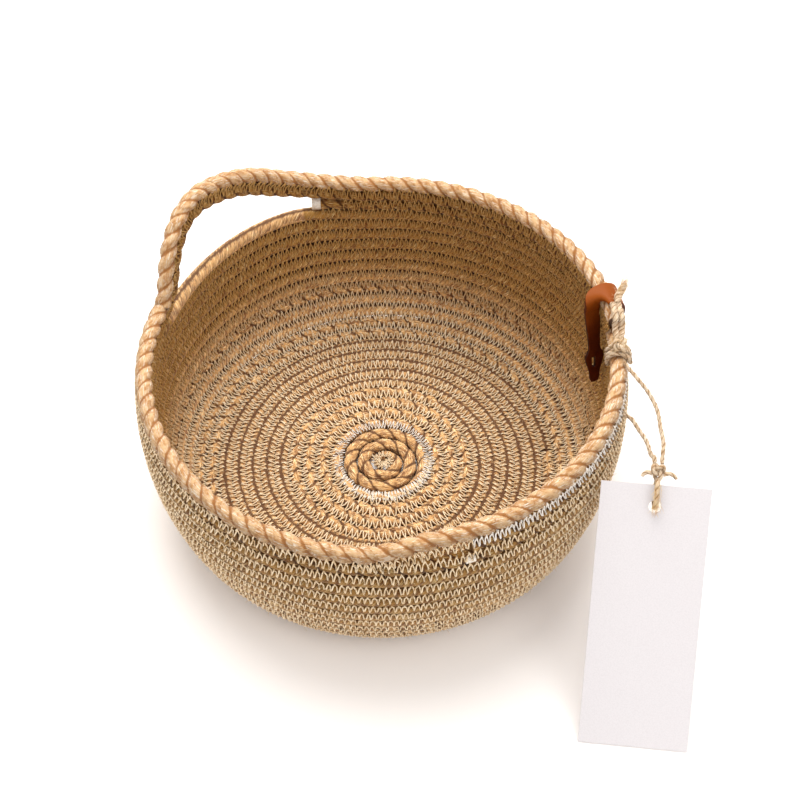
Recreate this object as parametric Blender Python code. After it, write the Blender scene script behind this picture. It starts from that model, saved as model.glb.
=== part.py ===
"""A round basket of coiled jute rope with a loop handle, a leather tab and a card tag on twine.

Metres, +Z up. The origin is on the table, under the middle of the whole outline, and the
bowl's own axis stands a little to its +X side, because the handle reaches out on the -X
side. Angles are degrees round that axis from +X, and the ropes climb clockwise.
"""

from math import cos, pi, radians, sin, sqrt

import bmesh
import bpy
from mathutils import Matrix, Vector
import numpy as np

# The rope and how it is wound. The floor's rope has its middle line at FLOOR_SEAT of its
# thickness above the table and is flattened underneath
ROPE = 0.0054
RIM_ROPE = 0.0062
ROW_PITCH = 0.0060
ROPE_GAP = 0.0005
PIECE_GAP = 0.0003
STEPS_A_TURN = 24
FLOOR_SEAT = 0.4
EYE_TURN = 0.65
FLOOR_TURNS = 11.9
CORNER_TURNS = 15.9
WALL_TURNS = 23.9

# The bowl's axis, and its section: a flat floor, a round corner and a wall that curls inwards
AXIS_X = 0.0020
FLOOR_FLAT = 0.0694
CORNER_RADIUS = 0.0205
CORNER_TURN = radians(71.7)
WALL_CURL = 9.02
WALL_TOP = 0.1560
HANDLE_FLARE = 0.0060
FLARE_HEIGHT = 0.0620
FLARE_START, FLARE_PEAK, FLARE_END = 138.0, 162.0, 211.0

# Where the rope's ends lie: the rim's end, and the filler rope's two taped ends
RIM_END_ANGLE = 51.0
FILLER_OUTER_ANGLE = -24.0
FILLER_INNER_ANGLE = 153.0
TAPE_LENGTH = 0.0060
RIM_RAMP_LEAD = 5.0
RIM_RAMP = 20.0

# The handle's lower strand: angle, and height above the row that it leaves
HANDLE_ROUTE = (
    (213.0, ROW_PITCH),
    (209.0, 0.0066),
    (205.3, 0.0135),
    (201.5, 0.0245),
    (196.0, 0.0330),
    (189.5, 0.0356),
    (182.0, 0.0328),
    (172.0, 0.0262),
    (162.0, 0.0170),
    (154.0, 0.0130),
    (147.0, 2 * ROW_PITCH),
)
HANDLE_STEP = 3.75

# White satin stitching round the eye, and the two plain seam threads
RING_INNER = 0.0180
RING_OUTER = 0.0212
RING_THICKNESS = 0.0006
THREAD = 0.0010
THREAD_SINK = 0.0013
WHITE_SEAM_START, WHITE_SEAM_END = 36.0, -21.0
HANDLE_SEAM_START, HANDLE_SEAM_END = 201.0, 156.0

# The leather tab
TAB_ANGLE = 58.0
LEATHER = 0.0016
SADDLE_WIDTH = 0.0100
SADDLE_CLEARANCE = 0.0006
SADDLE_OUTER_LEG = 0.0085
SADDLE_BULGE = 0.0032
SADDLE_INNER_LEG = 0.0070
TONGUE_WIDTH = 0.0062
TONGUE_HEAD_WIDTH = 0.0078
TONGUE_TIP_WIDTH = 0.0036
TONGUE_LENGTH = 0.0360
TONGUE_TWIST = -15.5
TONGUE_LEAN = 15.0
TONGUE_SLIT = 0.0050
TONGUE_SLIT_WIDTH = 0.0008
TONGUE_SLIT_PLACE = 0.74

# The twine, its knots and the card tag
TWINE = 0.0020
WRAP_ANGLE = 43.0
WRAPS = 3
WRAP_LEG = 0.0016
KNOT_HALF_LENGTH, KNOT_HALF_WIDTH, KNOT_HALF_HEIGHT = 0.0038, 0.0030, 0.0018
STRAND_OFFSET = 0.00115
TAIL_TAPER = (1.0, 1.0, 0.95, 0.8, 0.5)
TAG_WIDTH = 0.0400
TAG_LENGTH = 0.0980
TAG_THICKNESS = 0.0006
TAG_HOLE = 0.0046
TAG_HOLE_MARGIN = 0.0080
TAG_YAW = 40.0
TAG_TILT = 45.0
TAG_FOOT_RADIUS = 0.1592
TAG_FOOT_ANGLE = -8.25
TAG_KNOT_LENGTH = 0.0060
TAG_KNOT_RADIUS = 0.0026
TAG_KNOT_RISE = 0.0050
KNOT_END_LEFT, KNOT_END_RIGHT = 0.0032, 0.0046
KNOT_END_DROP = 0.0012
LEG_PULL = 20.0
LEG_OFFSET = 0.0014

# The two free twine legs, from the rim's knot to the tag's knot
UPPER_LEG_ROUTE = (
    (0.0762, 0.0590, 0.0796),
    (0.0825, 0.0569, 0.0800),
    (0.0895, 0.0551, 0.0790),
    (0.0959, 0.0523, 0.0775),
    (0.1024, 0.0467, 0.0765),
    (0.1081, 0.0412, 0.0765),
)
LOWER_LEG_ROUTE = (
    (0.0858, 0.0458, 0.0712),
    (0.0882, 0.0466, 0.0710),
    (0.0951, 0.0441, 0.0715),
    (0.1006, 0.0416, 0.0720),
    (0.1070, 0.0368, 0.0730),
)

COLOURS = {
    "jute_rope": (0.62, 0.43, 0.24, 0.85),
    "rim_jute": (0.72, 0.51, 0.29, 0.85),
    "cotton_thread": (0.85, 0.80, 0.72, 0.7),
    "end_tape": (0.88, 0.86, 0.84, 0.5),
    "leather": (0.30, 0.07, 0.02, 0.35),
    "twine": (0.73, 0.56, 0.36, 0.85),
    "card": (0.90, 0.89, 0.90, 0.6),
}


def ease(x):
    """A smooth step from 0 to 1."""
    x = min(max(x, 0.0), 1.0)
    return x * x * (3 - 2 * x)


def through(points, x):
    """The value at x of a smooth curve through (x, value) points, which rise in x."""
    xs = [p[0] for p in points]
    ys = [p[1] for p in points]
    slopes = np.gradient(ys, xs)
    i = min(max(int(np.searchsorted(xs, x)) - 1, 0), len(xs) - 2)
    span = xs[i + 1] - xs[i]
    t = min(max((x - xs[i]) / span, 0.0), 1.0)
    a = (1 + 2 * t) * (1 - t) ** 2 * ys[i] + t * (1 - t) ** 2 * span * slopes[i]
    return a + t * t * (3 - 2 * t) * ys[i + 1] - t * t * (1 - t) * span * slopes[i + 1]


def section(s):
    """Radius, height and slope of the ropes' middle line, s along the bowl from its centre."""
    bend = CORNER_RADIUS * CORNER_TURN
    turned = min(max((s - FLOOR_FLAT) / CORNER_RADIUS, 0.0), CORNER_TURN)
    up = min(max(s - FLOOR_FLAT - bend, 0.0), WALL_TOP - FLOOR_FLAT - bend)
    above = max(s - WALL_TOP, 0.0)
    mean = CORNER_TURN + WALL_CURL * up / 2
    radius = min(s, FLOOR_FLAT) + CORNER_RADIUS * sin(turned) + up * cos(mean)
    height = FLOOR_SEAT * ROPE + CORNER_RADIUS * (1 - cos(turned)) + up * sin(mean) + above
    slope = pi / 2 if above else turned + WALL_CURL * up
    return radius, height, slope


def flare(angle, height):
    """How far the wall is pulled outwards beside the handle."""
    rise = ease((angle - FLARE_START) / (FLARE_PEAK - FLARE_START))
    fall = 1 - ease((angle - FLARE_PEAK) / (FLARE_END - FLARE_PEAK))
    return HANDLE_FLARE * rise * fall * min(height / FLARE_HEIGHT, 1.15) ** 2


def on_wall(angle, s, proud=0.0):
    """The point at this angle and this far along the bowl, proud of its outer side."""
    radius, height, slope = section(s)
    radius += flare(angle % 360, height) + proud * sin(slope)
    turn = radians(angle)
    x = AXIS_X + radius * cos(turn)
    return Vector((x, radius * sin(turn), height - proud * cos(slope)))


def angle_after(turns):
    """The angle of a rope that has gone this many turns clockwise from the rim's end."""
    return RIM_END_ANGLE - 360 * turns


def turns_to(angle):
    """Turns clockwise from the rim's end to this angle, from 0 to 1."""
    return (RIM_END_ANGLE - angle) / 360 % 1.0


def second_row(turns):
    """How far along the bowl the second row lies, over the handle too."""
    base = ROW_PITCH * (WALL_TURNS + turns)
    if turns < turns_to(HANDLE_ROUTE[0][0]):
        return base
    if turns > turns_to(HANDLE_ROUTE[-1][0]):
        return base + ROW_PITCH
    return base - ROW_PITCH + through(HANDLE_ROUTE[::-1], angle_after(turns) % 360)


def rim_seat(turns):
    """How far along the bowl the row that carries the rim lies."""
    over = turns - turns_to(FILLER_OUTER_ANGLE) - RIM_RAMP_LEAD / 360
    return second_row(turns) + ROW_PITCH * (1 - ease(over * 360 / RIM_RAMP))


def rim_line(turns, distance=(ROPE + RIM_ROPE) / 2 + ROPE_GAP):
    """(angle, s) of a strand laid beside the rim's seat, square to it."""
    small = 0.25 / 360
    girth = 2 * pi * section(WALL_TOP)[0]
    along = girth * 2 * small
    up = rim_seat(turns + small) - rim_seat(turns - small)
    length = sqrt(along * along + up * up)
    shift = -distance * up / length / girth
    return angle_after(turns + shift), rim_seat(turns) + distance * along / length


def rim_s(angle):
    """How far along the bowl the rim's middle line lies at an angle away from the handle."""
    return rim_line(turns_to(angle))[1]


def turn_stations(start, end, fine=()):
    """Turns at which a rope has points, half a step past both ends."""
    step = 1 / STEPS_A_TURN
    count = round((end - start) / step)
    stations = [start + (k - 0.5) * step for k in range(count + 2)]
    for low, high, fine_step in fine:
        stations = [t for t in stations if not low - 0.3 * step < t < high + 0.3 * step]
        stations += list(np.arange(low, high, fine_step))
    return sorted(stations)


def cut_ends(points):
    """The rope cut in the middle of its first and last straight runs, half a gap short."""
    for end, inner in ((0, 1), (-1, -2)):
        way = (points[inner] - points[end]).normalized()
        points[end] = (points[end] + points[inner]) / 2 + way * PIECE_GAP / 2
    return points


def material(name):
    """A plain painted surface of the named colour and roughness."""
    red, green, blue, rough = COLOURS[name]
    made = bpy.data.materials.new(name)
    made.use_nodes = True
    shader = made.node_tree.nodes["Principled BSDF"]
    shader.inputs["Base Color"].default_value = (red, green, blue, 1)
    shader.inputs["Roughness"].default_value = rough
    shader.inputs["Metallic"].default_value = 0
    return made


def add(name, data, finish, parent=None):
    """Puts an object in the scene under its name, with its own material."""
    made = bpy.data.objects.new(name, data)
    bpy.context.collection.objects.link(made)
    data.materials.append(material(finish))
    if parent:
        made.parent = parent
        made.matrix_parent_inverse = parent.matrix_world.inverted()
    return made


def tube(name, route, thickness, finish, slopes=None, sides=1, parent=None, taper=None):
    """A tube along a list of points, with filled ends."""
    curve = bpy.data.curves.new(name, "CURVE")
    curve.dimensions = "3D"
    curve.twist_mode = "Z_UP" if slopes else "MINIMUM"
    curve.bevel_depth = thickness / 2
    curve.bevel_resolution = sides
    curve.use_fill_caps = True
    spline = curve.splines.new("POLY")
    spline.points.add(len(route) - 1)
    for i, point in enumerate(route):
        spline.points[i].co = (*point, 1)
        spline.points[i].tilt = slopes[i] if slopes else 0
        spline.points[i].radius = taper[i] if taper else 1
    return add(name, curve, finish, parent)


def solid(name, bm, finish, parent=None, smooth=True):
    """An object from a bmesh, with its faces turned outwards."""
    bmesh.ops.recalc_face_normals(bm, faces=bm.faces)
    mesh = bpy.data.meshes.new(name)
    bm.to_mesh(mesh)
    bm.free()
    if smooth:
        mesh.shade_smooth()
        mesh.set_sharp_from_angle(angle=radians(35))
    return add(name, mesh, finish, parent)


def flat_underneath(curve_object):
    """The tube as a mesh, with its underside flat on the table."""
    name = curve_object.name
    graph = bpy.context.evaluated_depsgraph_get()
    mesh = bpy.data.meshes.new_from_object(curve_object.evaluated_get(graph))
    bm = bmesh.new()
    bm.from_mesh(mesh)
    bmesh.ops.remove_doubles(bm, verts=bm.verts, dist=1e-6)
    for vert in bm.verts:
        vert.co.z = max(vert.co.z, 0.0)
    bpy.data.objects.remove(curve_object)
    return solid(name, bm, "jute_rope")


def coil(name, start, end):
    """A stretch of the body's rope, in turns from the eye, as one tube."""
    stations = turn_stations(start, end)
    points = [on_wall(angle_after(t - WALL_TURNS), ROW_PITCH * t) for t in stations]
    slopes = [section(ROW_PITCH * t)[2] for t in stations]
    points = cut_ends(points)
    print(f"{name}: least gap to itself {1000 * least_gap(points, ROPE):.2f} mm")
    return flat_underneath(tube(name, points, ROPE, "jute_rope", slopes))


def least_gap(points, thickness):
    """The least clear distance between turns, on the points and halfway between them."""
    line = np.array(points)
    line = np.concatenate([line, (line[1:] + line[:-1]) / 2])
    order = np.concatenate([np.arange(len(points)), np.arange(len(points) - 1) + 0.5])
    least = 1.0
    for i in range(len(line)):
        apart = np.abs(order - order[i]) > STEPS_A_TURN / 2
        if apart.any():
            away = np.linalg.norm(line[apart] - line[i], axis=1)
            least = min(least, away.min())
    return least - thickness


def body_ropes():
    """The one body rope, in the floor's stretch, the round corner's and the wall's."""
    coil("base_coil", EYE_TURN, FLOOR_TURNS)
    coil("corner_coil", FLOOR_TURNS, CORNER_TURNS)
    coil("wall_coil", CORNER_TURNS, WALL_TURNS)


def handle_turns():
    """The stretch of a turn that needs close points, at the handle."""
    return turns_to(216), turns_to(143), HANDLE_STEP / 360


def tab_turns():
    """The stretch that needs close points, under the leather, centred on the turn's end."""
    step = HANDLE_STEP / 360
    return 1 - 3.5 * step, 1 + 0.9 * step, step


def rim_ropes():
    """The two top strands, which leave the wall together as the handle."""
    stations = turn_stations(0, 1, [handle_turns(), tab_turns()])
    points = [on_wall(angle_after(t), second_row(t)) for t in stations]
    slopes = [section(second_row(t))[2] for t in stations]
    tube("second_row_rope", cut_ends(points), ROPE, "jute_rope", slopes)

    stations = rim_stations()
    lines = [rim_line(t) for t in stations]
    points = [on_wall(angle, s) for angle, s in lines]
    slopes = [section(s)[2] for _, s in lines]
    tube("rim_rope", cut_ends(points), RIM_ROPE, "rim_jute", slopes)


def rim_stations():
    """Turns at which the rim rope has points."""
    ramp = (turns_to(FILLER_OUTER_ANGLE), turns_to(FILLER_OUTER_ANGLE - 30), 5 / 360)
    return turn_stations(0, 1, [handle_turns(), tab_turns(), ramp])


def filler_place(turns):
    """A point of the filler rope, in turns from the rim's end, either way."""
    return on_wall(angle_after(turns), ROW_PITCH * (WALL_TURNS + 1 + turns))


def filler():
    """The rope laid between two rows on the far side, and the tape on its two ends."""
    start = turns_to(FILLER_INNER_ANGLE) - 1
    end = turns_to(FILLER_OUTER_ANGLE)
    step = 1 / STEPS_A_TURN
    rows = [t for t in turn_stations(-0.5, 0.5) if start + step / 4 < t < end - step / 4]
    stations = [start, *rows, end]
    points = [filler_place(t) for t in stations]
    slopes = [section(ROW_PITCH * (WALL_TURNS + 1 + t))[2] for t in stations]
    tube("filler_rope", points, ROPE, "jute_rope", slopes)
    for name, at, way in (("inner_end_tape", start, -1), ("outer_end_tape", end, 1)):
        inner = points[1] if way < 0 else points[-2]
        face = points[0] if way < 0 else points[-1]
        along = (face - inner).normalized()
        slope = [slopes[0] if way < 0 else slopes[-1]] * 2
        route = [face + along * PIECE_GAP, face + along * (PIECE_GAP + TAPE_LENGTH)]
        tube(name, route, ROPE, "end_tape", slope)


def ring_stitching():
    """A flat ring of white stitches on the floor round the eye."""
    bm = bmesh.new()
    low = FLOOR_SEAT * ROPE + ROPE / 2 * cos(pi / 6) + PIECE_GAP
    corners = [(RING_INNER, low), (RING_OUTER, low)]
    corners += [(RING_OUTER, low + RING_THICKNESS), (RING_INNER, low + RING_THICKNESS)]
    verts = [bm.verts.new((AXIS_X + r, 0, z)) for r, z in corners]
    edges = [bm.edges.new((verts[i], verts[(i + 1) % 4])) for i in range(4)]
    bmesh.ops.spin(
        bm,
        geom=[*verts, *edges],
        cent=(AXIS_X, 0, 0),
        axis=(0, 0, 1),
        angle=2 * pi,
        steps=48,
        use_merge=True,
    )
    solid("centre_ring_stitching", bm, "cotton_thread")


def seam_threads():
    """The white seam on the outer side, and the seam inside the handle."""
    stations = rim_stations()
    seams = (
        ("white_seam_thread", WHITE_SEAM_START, WHITE_SEAM_END, THREAD_SINK),
        ("handle_seam_thread", HANDLE_SEAM_START, HANDLE_SEAM_END, -THREAD_SINK),
    )
    for name, first, last, proud in seams:
        lines = [rim_line(t, (ROPE + ROPE_GAP) / 2) for t in stations]
        seam = np.array([on_wall(angle, s, proud) for angle, s in lines])
        start, end = turns_to(first), turns_to(last)
        turns = [start, *[t for t in stations if start < t < end], end]
        route = [[np.interp(t, stations, seam[:, k]) for k in range(3)] for t in turns]
        tube(name, route, THREAD, "cotton_thread")


def tab_frame():
    """The rim's middle under the tab, with the ways outwards and up along the wall."""
    s = rim_s(TAB_ANGLE)
    slope = section(s)[2]
    turn = radians(TAB_ANGLE)
    outwards = Vector((cos(turn) * sin(slope), sin(turn) * sin(slope), -cos(slope)))
    along = Vector((-sin(turn), cos(turn), 0))
    return on_wall(TAB_ANGLE, s), outwards, outwards.cross(along), along


def saddle_line():
    """The folded leather's middle line, as (outwards, up) from the rim's middle."""
    radius = RIM_ROPE / 2 + SADDLE_CLEARANCE + LEATHER / 2
    line = [(radius, -SADDLE_OUTER_LEG)]
    line += [(radius * cos(radians(a)), radius * sin(radians(a))) for a in range(0, 136, 15)]
    out, up = line[-1]
    for share, drop in ((0.45, 0.17), (0.85, 0.51), (1.0, 1.0)):
        line.append((out - share * SADDLE_BULGE, up - drop * SADDLE_INNER_LEG))
    return line


def strip(line, thickness):
    """The outline of a strip of this thickness about a line in a plane."""
    points = [Vector(p) for p in line]
    sides = []
    for i, point in enumerate(points):
        way = (points[min(i + 1, len(points) - 1)] - points[max(i - 1, 0)]).normalized()
        sides.append(Vector((-way.y, way.x)) * thickness / 2)
    left = [p + n for p, n in zip(points, sides)]
    right = [p - n for p, n in zip(points, sides)]
    return left + right[::-1]


def prism(outline, place, depth):
    """A bmesh of an outline swept by depth, with place turning (x, y) into a point."""
    bm = bmesh.new()
    face = bm.faces.new([bm.verts.new(place(*p)) for p in outline])
    moved = bmesh.ops.extrude_face_region(bm, geom=[face])["geom"]
    bmesh.ops.translate(
        bm, verts=[g for g in moved if isinstance(g, bmesh.types.BMVert)], vec=depth
    )
    return bm


def leather_tab():
    """A strap folded over the rim, and its tongue hanging inside the basket."""
    centre, outwards, up, along = tab_frame()
    start = centre - along * SADDLE_WIDTH / 2
    bm = prism(
        strip(saddle_line(), LEATHER),
        lambda x, y: start + outwards * x + up * y,
        along * SADDLE_WIDTH,
    )
    solid("leather_saddle", bm, "leather")

    out, high = saddle_line()[-1]
    end = centre + outwards * out + up * high
    hinge = end - up * (LEATHER + PIECE_GAP) / 2
    pivot = bpy.data.objects.new("tongue_hinge", None)
    pivot.location = hinge
    bpy.context.collection.objects.link(pivot)
    bpy.context.view_layer.update()

    turn = radians(TAB_ANGLE)
    radial = Vector((cos(turn), sin(turn), 0))
    twist = radians(TONGUE_TWIST)
    across = -radial * cos(twist) + along * sin(twist)
    down = Matrix.Rotation(radians(TONGUE_LEAN), 3, across) @ Vector((0, 0, -1))
    normal = across.cross(down).normalized()
    if normal.dot(along) > 0:
        normal = -normal
    half, head, tip = TONGUE_WIDTH / 2, TONGUE_HEAD_WIDTH / 2, TONGUE_TIP_WIDTH / 2
    long = TONGUE_LENGTH
    right_side = [(half, 0), (half, 0.52 * long), (head, 0.66 * long)]
    right_side += [(0.72 * head, 0.84 * long), (tip, 0.96 * long), (0.5 * tip, long)]
    outline = right_side + [(-x, y) for x, y in right_side[::-1]]
    corner = hinge - normal * LEATHER / 2
    bm = prism(outline, lambda x, y: corner + across * x + down * y, normal * LEATHER)
    tongue = solid("leather_tongue", bm, "leather", parent=pivot)
    slit = bmesh.new()
    bmesh.ops.create_cube(slit, size=1.0)
    place = Matrix((across, down, normal)).transposed().to_4x4()
    place.translation = hinge + down * TONGUE_SLIT_PLACE * long
    scale = Matrix.Diagonal((TONGUE_SLIT_WIDTH, TONGUE_SLIT, 3 * LEATHER, 1))
    bmesh.ops.transform(slit, matrix=place @ scale, verts=slit.verts)
    cutter = solid("slit_cutter", slit, "leather")
    cutter.hide_render = True
    cutter.display_type = "WIRE"
    cut = tongue.modifiers.new("slit", "BOOLEAN")
    cut.object = cutter


def rim_point(angle, out, up):
    """A point near the rim, out from and up from the rim's middle line at this angle."""
    return on_wall(angle, rim_s(angle) + up, out)


def twine_on_rim():
    """Twine wraps and a knot on the rim, the strands to the tab and the frayed tail."""
    around = RIM_ROPE / 2 + PIECE_GAP + TWINE / 2
    step = 360 * (TWINE + PIECE_GAP) / (2 * pi * section(WALL_TOP)[0])
    for k in range(WRAPS):
        angle = WRAP_ANGLE + (k - (WRAPS - 1) / 2) * step
        route = [rim_point(angle, around, -WRAP_LEG)]
        route += [
            rim_point(angle, around * cos(radians(a)), around * sin(radians(a)))
            for a in range(0, 181, 20)
        ]
        route.append(rim_point(angle, -around, -WRAP_LEG))
        tube(f"twine_wrap_{k + 1}", route, TWINE, "twine")

    bm = bmesh.new()
    bmesh.ops.create_icosphere(bm, subdivisions=2, radius=1.0)
    seat = around + TWINE / 2 + PIECE_GAP + KNOT_HALF_HEIGHT
    middle = rim_point(WRAP_ANGLE, 0.0, seat)
    size = Matrix.Translation(middle) @ Matrix.Rotation(radians(WRAP_ANGLE), 4, "Z")
    half = (KNOT_HALF_LENGTH, KNOT_HALF_WIDTH, KNOT_HALF_HEIGHT, 1)
    size = size @ Matrix.Diagonal(half)
    bmesh.ops.transform(bm, matrix=size, verts=bm.verts)
    solid("twine_knot", bm, "twine")

    top_row = rim_s(RIM_END_ANGLE + 1) + around
    for name, side in (("inner", -STRAND_OFFSET), ("outer", STRAND_OFFSET)):
        strand = [
            rim_point(WRAP_ANGLE + 3.2, side, around + 0.0004),
            rim_point(WRAP_ANGLE + 5.0, side, around + 0.0030),
            on_wall(RIM_END_ANGLE - 1.2, top_row + 0.0009, side),
            rim_point(RIM_END_ANGLE + 1.0, side, around + 0.0009),
            rim_point(RIM_END_ANGLE + 1.9, side, around + 0.0004),
        ]
        tube(f"lashing_strand_{name}", strand, TWINE, "twine")

    over = RIM_ROPE / 2 + SADDLE_CLEARANCE + LEATHER + TWINE / 2
    tail = [
        rim_point(TAB_ANGLE - 4.4, 0.0006, over + 0.0002),
        rim_point(TAB_ANGLE - 2.8, 0.0012, over + 0.0003),
        rim_point(TAB_ANGLE - 1.8, 0.0026, over + 0.0014),
        rim_point(TAB_ANGLE - 1.1, 0.0040, over + 0.0036),
        rim_point(TAB_ANGLE - 0.6, 0.0050, over + 0.0060),
    ]
    tube("twine_tail", tail, TWINE, "twine", taper=TAIL_TAPER)


def smooth_route(points, spacing):
    """Points at about this spacing on a smooth curve through the route's own points."""
    line = np.array(points)
    steps = np.linalg.norm(np.diff(line, axis=0), axis=1)
    at = np.concatenate([[0], np.cumsum(steps)])
    count = max(int(at[-1] / spacing), 2)
    found = []
    for u in np.linspace(0, at[-1], count + 1):
        found.append(Vector([through(list(zip(at, line[:, k])), u) for k in range(3)]))
    return found


def tag_frame():
    """The card's foot, with the ways across it, up along it and out of its front."""
    yaw, tilt = radians(TAG_YAW), radians(TAG_TILT)
    across = Vector((cos(yaw), sin(yaw), 0))
    up = Vector((-sin(yaw) * cos(tilt), cos(yaw) * cos(tilt), sin(tilt)))
    turn = radians(TAG_FOOT_ANGLE)
    x = AXIS_X + TAG_FOOT_RADIUS * cos(turn)
    foot = Vector((x, TAG_FOOT_RADIUS * sin(turn), PIECE_GAP))
    return foot, across, up, across.cross(up)


def twine_to_tag():
    """The free legs, the knot that they meet in, the loop through the card and the card."""
    foot, across, up, front = tag_frame()
    knot = foot + up * (TAG_LENGTH + TAG_KNOT_RISE) + front * TAG_THICKNESS / 2
    swivel = bpy.data.objects.new("tag_swivel_axis", None)
    swivel.location = knot
    bpy.context.collection.objects.link(swivel)
    lift = bpy.data.objects.new("tag_lift_axis", None)
    lift.location = knot
    lift.parent = swivel
    lift.matrix_parent_inverse = Matrix.Translation(-knot)
    bpy.context.collection.objects.link(lift)
    bpy.context.view_layer.update()

    legs = (
        ("twine_leg_upper", UPPER_LEG_ROUTE, LEG_OFFSET),
        ("twine_leg_lower", LOWER_LEG_ROUTE, -LEG_OFFSET),
    )
    pull = radians(LEG_PULL)
    back = Vector((up.x, up.y, 0)).normalized() * cos(pull) + Vector((0, 0, sin(pull)))
    for name, route, side in legs:
        end = knot + back * (TAG_KNOT_LENGTH / 2 + PIECE_GAP) + across * side
        away = end + back * TWINE
        points = smooth_route([*[Vector(p) for p in route], away, end], TWINE)
        tube(name, points, TWINE, "twine", sides=2)
        length = sum((b - a).length for a, b in zip(points, points[1:]))
        print(f"{name}: {1000 * length:.0f} mm long")

    bm = bmesh.new()
    bmesh.ops.create_icosphere(bm, subdivisions=2, radius=1.0)
    turned = Matrix((across, up, front)).transposed().to_4x4()
    turned.translation = knot
    size = Matrix.Diagonal((TAG_KNOT_RADIUS, TAG_KNOT_LENGTH / 2, TAG_KNOT_RADIUS * 0.8, 1))
    bmesh.ops.transform(bm, matrix=turned @ size, verts=bm.verts)
    solid("tag_knot", bm, "twine", parent=swivel)

    for name, side, long in (("left", -1, KNOT_END_LEFT), ("right", 1, KNOT_END_RIGHT)):
        root = knot + across * side * (TAG_KNOT_RADIUS + PIECE_GAP)
        bend = root + across * side * 0.6 * long + up * 0.0002
        end = [root, bend, root + across * side * long - up * KNOT_END_DROP]
        tube(f"knot_end_{name}", end, TWINE * 0.8, "twine", parent=swivel)

    hole = foot + up * (TAG_LENGTH - TAG_HOLE_MARGIN)
    over = TAG_THICKNESS / 2 + TWINE / 2 + PIECE_GAP
    top = knot - up * (TAG_KNOT_LENGTH / 2 + PIECE_GAP)
    strands = [
        top + front * 0.0011,
        top + front * 0.0018 - up * 0.0012,
        hole + front * (over + 0.0008) + up * 0.0030,
        hole + front * (over + 0.0002) + up * 0.0008,
        hole,
        hole - front * (over + 0.0002) + up * 0.0008,
        hole - front * (over + 0.0008) + up * 0.0030,
        top - front * 0.0018 - up * 0.0012,
        top - front * 0.0011,
    ]
    tube("tag_loop", strands, TWINE * 0.9, "twine", sides=2, parent=lift)

    bm = bmesh.new()
    bmesh.ops.create_cube(bm, size=1.0)
    place = Matrix((across, up, front)).transposed().to_4x4()
    place.translation = foot + up * TAG_LENGTH / 2
    size = Matrix.Diagonal((TAG_WIDTH, TAG_LENGTH, TAG_THICKNESS, 1))
    bmesh.ops.transform(bm, matrix=place @ size, verts=bm.verts)
    card = solid("hang_tag", bm, "card", parent=lift, smooth=False)
    bm = bmesh.new()
    bmesh.ops.create_cone(
        bm,
        cap_ends=True,
        segments=24,
        radius1=TAG_HOLE / 2,
        radius2=TAG_HOLE / 2,
        depth=6 * TAG_THICKNESS,
    )
    place.translation = hole
    bmesh.ops.transform(bm, matrix=place, verts=bm.verts)
    cutter = solid("hole_cutter", bm, "card")
    cutter.hide_render = True
    cutter.display_type = "WIRE"
    card.modifiers.new("hole", "BOOLEAN").object = cutter


for old in list(bpy.data.objects):
    bpy.data.objects.remove(old)
body_ropes()
rim_ropes()
filler()
ring_stitching()
seam_threads()
leather_tab()
twine_on_rim()
twine_to_tag()
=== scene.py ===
from math import cos, degrees, pi, radians, sin, sqrt

import bmesh
import bpy
from mathutils import Matrix, Vector
from mathutils.kdtree import KDTree
import numpy as np


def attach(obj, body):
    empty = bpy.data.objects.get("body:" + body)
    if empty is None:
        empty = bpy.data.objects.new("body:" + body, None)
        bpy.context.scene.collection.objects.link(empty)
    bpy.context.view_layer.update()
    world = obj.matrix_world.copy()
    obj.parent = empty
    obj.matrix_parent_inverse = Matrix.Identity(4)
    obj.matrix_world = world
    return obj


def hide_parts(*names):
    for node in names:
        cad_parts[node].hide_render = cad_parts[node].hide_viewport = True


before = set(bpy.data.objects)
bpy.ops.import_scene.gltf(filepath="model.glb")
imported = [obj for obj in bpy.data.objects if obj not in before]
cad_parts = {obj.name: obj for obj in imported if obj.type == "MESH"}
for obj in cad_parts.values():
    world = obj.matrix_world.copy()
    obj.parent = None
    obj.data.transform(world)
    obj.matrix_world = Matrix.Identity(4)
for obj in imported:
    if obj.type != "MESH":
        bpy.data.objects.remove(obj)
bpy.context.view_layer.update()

# Camera.
# A short telephoto lens from the card's side, looking down at about fifty degrees into
# the bowl, as the photographer stood over the table.
lens = bpy.data.cameras.new("camera")
lens.lens = 56.8
lens.sensor_width = 36.0
camera = bpy.data.objects.new("camera", lens)
right = Vector((0.6947, 0.7193, 0.0))
back = Vector((0.4602, -0.4444, 0.7686))
turned = Matrix((right, back.cross(right), back)).transposed().to_4x4()
turned.translation = (0.2440, -0.2238, 0.4412)
camera.matrix_world = turned
bpy.context.scene.collection.objects.link(camera)
bpy.context.scene.camera = camera

# Twine legs.
# Two limp lengths of two-ply jute twine, 2 mm thick: one runs from the knot on the rim and
# one comes out of the wall, and both end at the small knot above the card. Each is a mesh
# with two lobes that turn along its length.
MM = 0.001
TWINE = 0.0020
TWINE_PLIES = 2
TWINE_LAY = 6 * MM
AXIS_X = 0.0020
PIECE_GAP = 0.0003
TAG_KNOT_LENGTH = 0.0060
TAG_KNOT_RISE = 0.0050
LEG_PULL = radians(20.0)
LEG_OFFSET = 0.0014
LEG_RADIUS = 0.9 * MM
ROPE_SIDES, TWINE_SIDES = 18, 12
STREAK_LEAN = -55


def linear(code):
    """An sRGB hex colour as the linear colour that a shader takes."""
    parts = [int(code[i : i + 2], 16) / 255 for i in (1, 3, 5)]
    return [
        *[c / 12.92 if c <= 0.04045 else ((c + 0.055) / 1.055) ** 2.4 for c in parts],
        1.0,
    ]


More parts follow.
